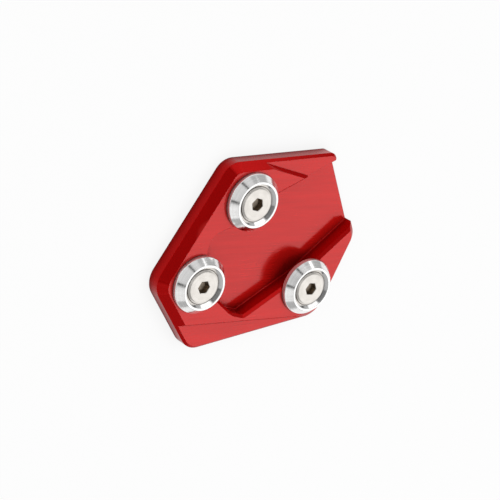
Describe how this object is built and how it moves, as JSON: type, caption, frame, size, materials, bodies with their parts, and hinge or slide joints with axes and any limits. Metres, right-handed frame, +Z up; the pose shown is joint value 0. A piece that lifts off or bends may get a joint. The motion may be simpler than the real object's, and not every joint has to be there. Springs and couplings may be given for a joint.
{
  "type": "kickstand foot enlarger",
  "caption": "Red anodised plate with an open milled pocket, and countersunk washers and screws that clamp it under a motorbike side stand's foot to widen it on soft ground.",
  "frame": {"origin": "on the underside, under the middle of the three screws", "axes": "+X from the left screw to the right screw, +Y towards the upper screw, +Z up from the underside"},
  "size_m": [0.079, 0.0713, 0.0119],
  "materials": {
    "red_anodised": "red anodised, satin, with fine milling lines",
    "turned_aluminium": "bright, turned",
    "screw_steel": "satin stainless"
  },
  "bodies": {
    "root": {"base_plate": "red_anodised", "clamp_washer_left": "turned_aluminium", "clamp_washer_right": "turned_aluminium", "clamp_washer_upper": "turned_aluminium", "clamp_screws": "screw_steel"}
  },
  "joints": []
}
